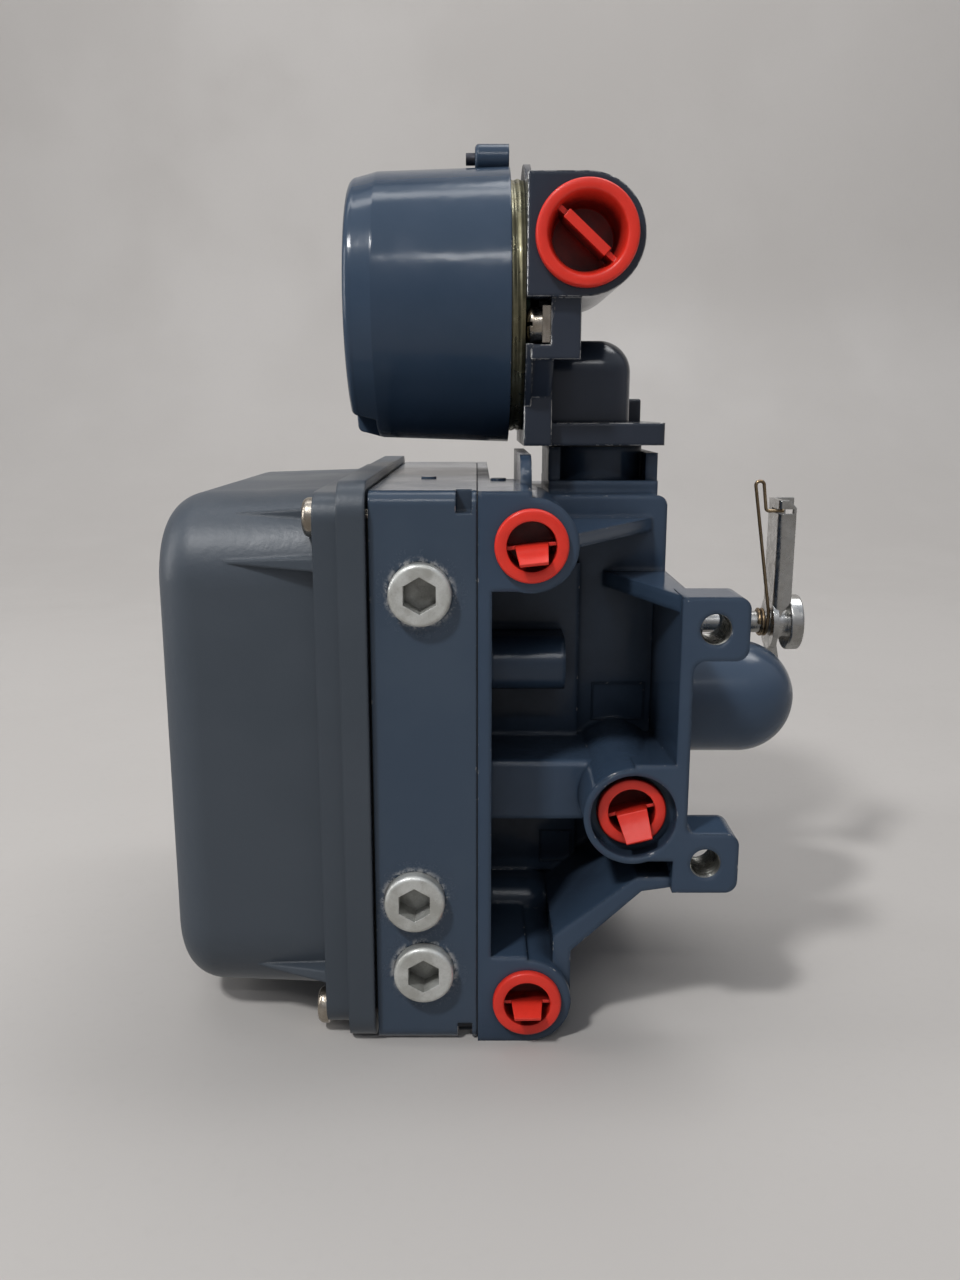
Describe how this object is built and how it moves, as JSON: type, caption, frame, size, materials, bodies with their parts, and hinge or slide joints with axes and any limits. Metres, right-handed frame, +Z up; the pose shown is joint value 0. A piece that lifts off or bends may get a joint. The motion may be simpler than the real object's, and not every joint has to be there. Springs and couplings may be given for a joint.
{
  "type": "electro-pneumatic valve positioner",
  "caption": "Cast case with domed cover, ported manifold with lugs, round terminal box and a feedback lever; it sets a valve actuator's air from an electric signal.",
  "frame": {"origin": "on the face the positioner stands on, in the joint plane between case and manifold, midway between the port side and the far side", "axes": "+Z up, along the tallest extent; +X from the front cover towards the feedback lever; -Y the side that the air ports open to"},
  "size_m": [0.163, 0.136, 0.2104],
  "materials": {
    "satin_cover": "satin slate paint, a little worn",
    "slate_enamel": "glossy slate enamel over cast aluminium",
    "nickel": "nickel plated",
    "zinc": "dull zinc plated",
    "black_steel": "blackened",
    "seal_rubber": "matt",
    "chromate": "yellow chromate on aluminium",
    "red_plastic": "semi-gloss moulded",
    "stainless": "brushed",
    "spring_steel": "straw-tinted wire",
    "bronze": "oiled bronze",
    "bare_aluminium": "machined",
    "brass_knob": "knurled",
    "yoke_iron": "oiled",
    "coil_tape": "taped copper winding",
    "board": "solder resist",
    "black_plastic": "moulded",
    "relay_screw_steel": "socket head"
  },
  "bodies": {
    "positioner": {"base_screws": "black_steel", "base_seal": "seal_rubber", "beam_pivot_pin": "stainless", "board_spacers": "black_plastic", "case_block": "slate_enamel", "case_screws": "black_steel", "circuit_board": "board", "converter_bonnet": "slate_enamel", "converter_coil": "coil_tape", "converter_yoke": "yoke_iron", "cover_seal": "seal_rubber", "follower_pivot_pin": "stainless", "gauge_plug_1": "zinc", "gauge_plug_2": "zinc", "gauge_plug_3": "zinc", "ground_screw": "nickel", "ground_washers": "nickel", "input_capsule": "bare_aluminium", "joint_gasket": "seal_rubber", "manifold_casting": "slate_enamel", "nozzle": "bronze", "pivot_posts": "stainless", "relay_body": "bare_aluminium", "relay_screws": "relay_screw_steel", "shaft_bushings": "bronze", "terminal_block": "black_plastic", "terminal_housing": "slate_enamel", "terminal_screws": "nickel", "threaded_collar": "chromate", "zero_bracket": "bare_aluminium"},
    "cover": {"front_cover": "satin_cover", "cover_screws": "nickel"},
    "shaft": {"feedback_shaft": "stainless", "feedback_lever": "stainless", "lever_hub": "stainless", "lever_nut": "stainless", "bias_wire": "spring_steel", "feedback_cam": "stainless", "cam_nut": "stainless"},
    "follower": {"follower_arm": "stainless", "range_spring": "spring_steel"},
    "roller": {"follower_roller": "stainless"},
    "span_screw": {"span_adjuster": "brass_knob"},
    "beam": {"balance_beam": "bare_aluminium", "zero_spring": "spring_steel"},
    "input_rod": {"capsule_rod": "stainless"},
    "spool": {"relay_spool": "stainless"},
    "zero_screw": {"zero_adjuster": "brass_knob"},
    "flapper": {"armature": "stainless"},
    "cap_seal": {"cap_ring": "seal_rubber"},
    "cap": {"terminal_cap": "slate_enamel"},
    "cap_lock": {"lock_screw": "nickel"},
    "supply_stopper": {"supply_plug": "red_plastic"},
    "upper_stopper": {"upper_output_plug": "red_plastic"},
    "lower_stopper": {"lower_output_plug": "red_plastic"},
    "conduit_stopper": {"conduit_plug": "red_plastic"}
  },
  "joints": [
    {"name": "cover_lift", "type": "slide", "parent": "positioner", "child": "cover", "axis": [-1, 0, 0], "range_m": [0, 0.06]},
    {"name": "shaft_turn", "type": "hinge", "parent": "positioner", "child": "shaft", "pos_m": [0, 0.004, 0.0865], "axis": [1, 0, 0], "range_deg": [-30, 30]},
    {"name": "follower_swing", "type": "hinge", "parent": "positioner", "child": "follower", "pos_m": [-0.0185, 0.038, 0.06238], "axis": [1, 0, 0], "range_deg": [-4.5, 4.5], "deforming": ["range_spring"]},
    {"name": "roller_spin", "type": "hinge", "parent": "follower", "child": "roller", "pos_m": [-0.022, 0.004, 0.06238], "axis": [1, 0, 0], "continuous": true},
    {"name": "span_screw_turn", "type": "hinge", "parent": "follower", "child": "span_screw", "pos_m": [-0.0185, -0.022, 0.06238], "axis": [0, 0, 1], "range_deg": [-90, 90]},
    {"name": "beam_tilt", "type": "hinge", "parent": "positioner", "child": "beam", "pos_m": [-0.0185, 0.004, 0.034], "axis": [1, 0, 0], "range_deg": [-1.5, 1.5], "deforming": ["zero_spring"]},
    {"name": "spool_slide", "type": "slide", "parent": "positioner", "child": "spool", "axis": [0, 0, 1], "range_m": [-0.0008, 0.0008]},
    {"name": "input_rod_slide", "type": "slide", "parent": "positioner", "child": "input_rod", "axis": [0, 0, 1], "range_m": [-0.00085, 0.00085]},
    {"name": "zero_screw_turn", "type": "hinge", "parent": "positioner", "child": "zero_screw", "pos_m": [-0.0185, -0.039, 0.066], "axis": [0, 0, 1], "range_deg": [-90, 90]},
    {"name": "flapper_rock", "type": "hinge", "parent": "positioner", "child": "flapper", "pos_m": [0.0294, 0.0012, 0.1495], "axis": [0, 1, 0], "range_deg": [-1, 1]},
    {"name": "cap_advance", "type": "slide", "parent": "positioner", "child": "cap_seal", "axis": [-1, 0, 0], "range_m": [0, 0.0141]},
    {"name": "cap_turn", "type": "hinge", "parent": "cap_seal", "child": "cap", "pos_m": [0, 0, 0.1704], "axis": [-1, 0, 0], "range_deg": [0, 2520]},
    {"name": "lock_screw_turn", "type": "hinge", "parent": "cap", "child": "cap_lock", "pos_m": [0.0032, 0, 0.2068], "axis": [1, 0, 0], "range_deg": [-180, 180]},
    {"name": "supply_plug_pull", "type": "slide", "parent": "positioner", "child": "supply_stopper", "axis": [0, -1, 0], "range_m": [0, 0.02]},
    {"name": "upper_plug_pull", "type": "slide", "parent": "positioner", "child": "upper_stopper", "axis": [0, -1, 0], "range_m": [0, 0.02]},
    {"name": "lower_plug_pull", "type": "slide", "parent": "positioner", "child": "lower_stopper", "axis": [0, -1, 0], "range_m": [0, 0.02]},
    {"name": "conduit_plug_pull", "type": "slide", "parent": "positioner", "child": "conduit_stopper", "axis": [0, -1, 0], "range_m": [0, 0.02]}
  ],
  "couplings": [
    {"joint": "follower_swing", "follows": "shaft_turn", "ratio": 0.14706},
    {"joint": "spool_slide", "follows": "beam_tilt", "m_per_rad": 0.03},
    {"joint": "input_rod_slide", "follows": "beam_tilt", "m_per_rad": -0.032},
    {"joint": "cap_advance", "follows": "cap_turn", "m_per_rad": 0.00031831}
  ]
}
